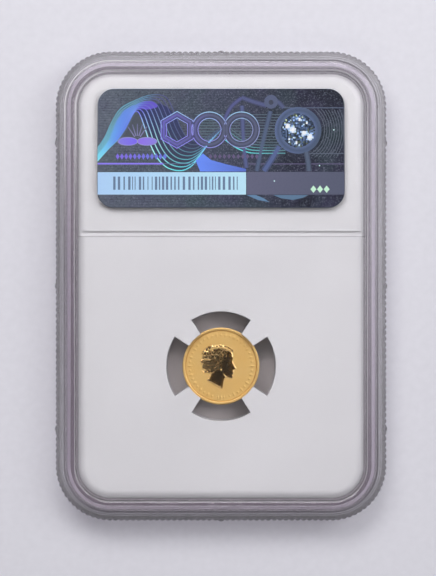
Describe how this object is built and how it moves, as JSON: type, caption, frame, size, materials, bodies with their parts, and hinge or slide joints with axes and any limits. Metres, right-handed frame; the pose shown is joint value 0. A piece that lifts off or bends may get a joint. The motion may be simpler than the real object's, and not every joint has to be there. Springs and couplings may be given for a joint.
{
  "type": "graded coin slab",
  "caption": "Flat clear plastic holder welded shut round a white gasket that grips a small gold coin by its edge, with a printed label in front and a foil security label behind.",
  "frame": {"origin": "centre of the foot ring's plane, under the middle of the slab", "axes": "+Z out of the rear face, which is up as the slab lies; +Y towards the label end; +X to the right as the rear face is seen"},
  "size_m": [0.0604, 0.0856, 0.0079],
  "materials": {
    "clear_shell": "gloss",
    "white_gasket": "satin",
    "coin_gold": "satin",
    "hologram_foil": "gloss",
    "label_card": "matte"
  },
  "bodies": {
    "root": {"rear_shell": "clear_shell", "front_shell": "clear_shell", "weld_bead": "clear_shell", "coin_gasket": "white_gasket", "coin": "coin_gold", "hologram_label": "hologram_foil", "certification_label": "label_card"}
  },
  "joints": []
}
